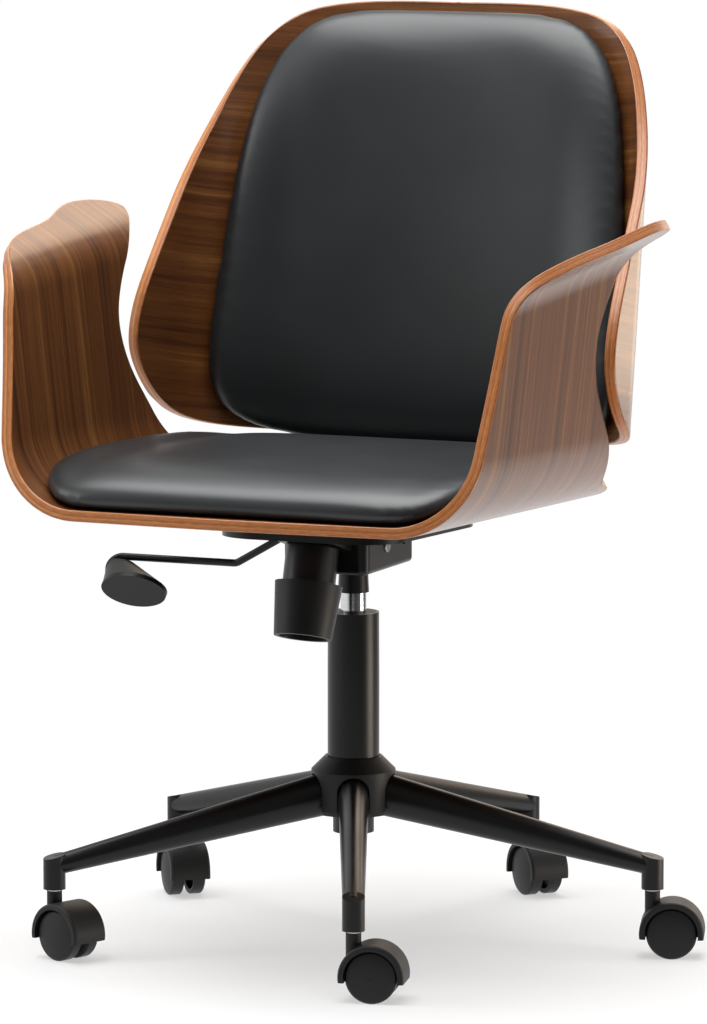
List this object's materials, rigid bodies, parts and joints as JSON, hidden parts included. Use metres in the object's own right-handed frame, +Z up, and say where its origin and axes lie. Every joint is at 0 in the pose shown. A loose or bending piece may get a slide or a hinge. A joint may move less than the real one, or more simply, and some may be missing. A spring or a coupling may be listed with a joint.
{
  "type": "swivel desk chair",
  "caption": "Swivel desk chair with a bent walnut plywood seat and arms, padded wrap-round back, gas lift column, tilt mechanism and star base on twin-wheel casters.",
  "frame": {"origin": "on the floor under the column axis", "axes": "+Z up; the chair faces -Y; +X is the sitter's left"},
  "size_m": [0.6839, 0.6361, 0.9203],
  "materials": {
    "walnut_ply": "satin walnut veneer",
    "leatherette": "smooth semi-matt",
    "black_paint": "satin powder coat",
    "black_plastic": "matt",
    "caster_plastic": "semi-matt",
    "chrome": "polished",
    "steel": "plain"
  },
  "bodies": {
    "base": {"hub_sleeve": "black_paint", "hub_cover": "black_plastic", "base_leg_1": "black_paint", "base_leg_2": "black_paint", "base_leg_3": "black_paint", "base_leg_4": "black_paint", "base_leg_5": "black_paint", "column_tube": "black_paint", "guide_bush": "black_plastic", "thrust_bearing": "steel", "caster_stem_1": "chrome", "caster_stem_2": "chrome", "caster_stem_3": "chrome", "caster_stem_4": "chrome", "caster_stem_5": "chrome"},
    "column": {"piston_rod": "steel", "retaining_clip": "steel"},
    "mechanism": {"gas_cylinder": "chrome", "column_socket": "black_paint", "mechanism_box": "black_paint", "tilt_axle": "steel", "spring_cup": "black_paint", "tension_spring": "steel"},
    "seat": {"seat_pan": "black_paint", "seat_shell": "walnut_ply", "seat_cushion": "leatherette", "back_bracket": "black_paint", "back_spacer": "black_plastic", "back_shell": "walnut_ply", "back_cushion": "leatherette", "seat_bolts": "steel", "back_bolts": "steel"},
    "lever": {"lever_rod": "black_paint", "lever_paddle": "black_plastic"},
    "valve": {"valve_button": "black_plastic"},
    "tension": {"tension_bolt": "steel"},
    "knob": {"tension_knob": "black_plastic"},
    "caster_1": {"caster_hood_1": "caster_plastic", "caster_axle_1": "steel"},
    "wheel_1a": {"caster_wheel_1a": "caster_plastic"},
    "wheel_1b": {"caster_wheel_1b": "caster_plastic"},
    "caster_2": {"caster_hood_2": "caster_plastic", "caster_axle_2": "steel"},
    "wheel_2a": {"caster_wheel_2a": "caster_plastic"},
    "wheel_2b": {"caster_wheel_2b": "caster_plastic"},
    "caster_3": {"caster_hood_3": "caster_plastic", "caster_axle_3": "steel"},
    "wheel_3a": {"caster_wheel_3a": "caster_plastic"},
    "wheel_3b": {"caster_wheel_3b": "caster_plastic"},
    "caster_4": {"caster_hood_4": "caster_plastic", "caster_axle_4": "steel"},
    "wheel_4a": {"caster_wheel_4a": "caster_plastic"},
    "wheel_4b": {"caster_wheel_4b": "caster_plastic"},
    "caster_5": {"caster_hood_5": "caster_plastic", "caster_axle_5": "steel"},
    "wheel_5a": {"caster_wheel_5a": "caster_plastic"},
    "wheel_5b": {"caster_wheel_5b": "caster_plastic"}
  },
  "joints": [
    {"name": "seat_swivel", "type": "hinge", "parent": "base", "child": "column", "pos_m": [0, 0, 0.12], "axis": [0, 0, 1], "continuous": true},
    {"name": "seat_height", "type": "slide", "parent": "column", "child": "mechanism", "axis": [0, 0, 1], "range_m": [-0.015, 0.085]},
    {"name": "seat_tilt", "type": "hinge", "parent": "mechanism", "child": "seat", "pos_m": [0, -0.0215, 0.4], "axis": [-1, 0, 0], "range_deg": [0, 12], "stiffness_Nm_per_rad": 120, "springref_deg": -17.19, "deforming": ["tension_spring"]},
    {"name": "lever_lift", "type": "hinge", "parent": "mechanism", "child": "lever", "pos_m": [-0.04375, 0, 0.402], "axis": [0, 1, 0], "range_deg": [0, 5], "stiffness_Nm_per_rad": 1, "springref_deg": -2.86},
    {"name": "valve_press", "type": "slide", "parent": "mechanism", "child": "valve", "axis": [0, 0, -1], "range_m": [0, 0.0046]},
    {"name": "tension_travel", "type": "slide", "parent": "mechanism", "child": "tension", "axis": [0, 0.2807, 0.9598], "range_m": [0, 0.018]},
    {"name": "tension_turn", "type": "hinge", "parent": "tension", "child": "knob", "pos_m": [0, -0.1118, 0.371], "axis": [0, 0.2807, 0.9598], "range_deg": [-360, 360]},
    {"name": "caster_swivel_1", "type": "hinge", "parent": "base", "child": "caster_1", "pos_m": [0.12085, -0.28471, 0.055], "axis": [0, 0, 1], "continuous": true},
    {"name": "wheel_spin_1a", "type": "hinge", "parent": "caster_1", "child": "wheel_1a", "pos_m": [0.13985, -0.28033, 0.025], "axis": [-0.225, 0.9744, 0], "continuous": true},
    {"name": "wheel_spin_1b", "type": "hinge", "parent": "caster_1", "child": "wheel_1b", "pos_m": [0.13985, -0.28033, 0.025], "axis": [-0.225, 0.9744, 0], "continuous": true},
    {"name": "caster_swivel_2", "type": "hinge", "parent": "base", "child": "caster_2", "pos_m": [0.30812, 0.02696, 0.055], "axis": [0, 0, 1], "continuous": true},
    {"name": "wheel_spin_2a", "type": "hinge", "parent": "caster_2", "child": "wheel_2a", "pos_m": [0.32667, 0.03298, 0.025], "axis": [-0.309, 0.9511, 0], "continuous": true},
    {"name": "wheel_spin_2b", "type": "hinge", "parent": "caster_2", "child": "wheel_2b", "pos_m": [0.32667, 0.03298, 0.025], "axis": [-0.309, 0.9511, 0], "continuous": true},
    {"name": "caster_swivel_3", "type": "hinge", "parent": "base", "child": "caster_3", "pos_m": [0.06958, 0.30137, 0.055], "axis": [0, 0, 1], "continuous": true},
    {"name": "wheel_spin_3a", "type": "hinge", "parent": "caster_3", "child": "wheel_3a", "pos_m": [0.08407, 0.28832, 0.025], "axis": [0.6691, 0.7431, 0], "continuous": true},
    {"name": "wheel_spin_3b", "type": "hinge", "parent": "caster_3", "child": "wheel_3b", "pos_m": [0.08407, 0.28832, 0.025], "axis": [0.6691, 0.7431, 0], "continuous": true},
    {"name": "caster_swivel_4", "type": "hinge", "parent": "base", "child": "caster_4", "pos_m": [-0.26512, 0.1593, 0.055], "axis": [0, 0, 1], "continuous": true},
    {"name": "wheel_spin_4a", "type": "hinge", "parent": "caster_4", "child": "wheel_4a", "pos_m": [-0.25259, 0.14436, 0.025], "axis": [0.766, 0.6428, 0], "continuous": true},
    {"name": "wheel_spin_4b", "type": "hinge", "parent": "caster_4", "child": "wheel_4b", "pos_m": [-0.25259, 0.14436, 0.025], "axis": [0.766, 0.6428, 0], "continuous": true},
    {"name": "caster_swivel_5", "type": "hinge", "parent": "base", "child": "caster_5", "pos_m": [-0.23343, -0.20292, 0.055], "axis": [0, 0, 1], "continuous": true},
    {"name": "wheel_spin_5a", "type": "hinge", "parent": "caster_5", "child": "wheel_5a", "pos_m": [-0.21523, -0.20991, 0.025], "axis": [0.3584, 0.9336, 0], "continuous": true},
    {"name": "wheel_spin_5b", "type": "hinge", "parent": "caster_5", "child": "wheel_5b", "pos_m": [-0.21523, -0.20991, 0.025], "axis": [0.3584, 0.9336, 0], "continuous": true}
  ],
  "couplings": [
    {"joint": "valve_press", "follows": "lever_lift", "m_per_rad": 0.047},
    {"joint": "tension_travel", "follows": "seat_tilt", "m_per_rad": 0.0785}
  ]
}
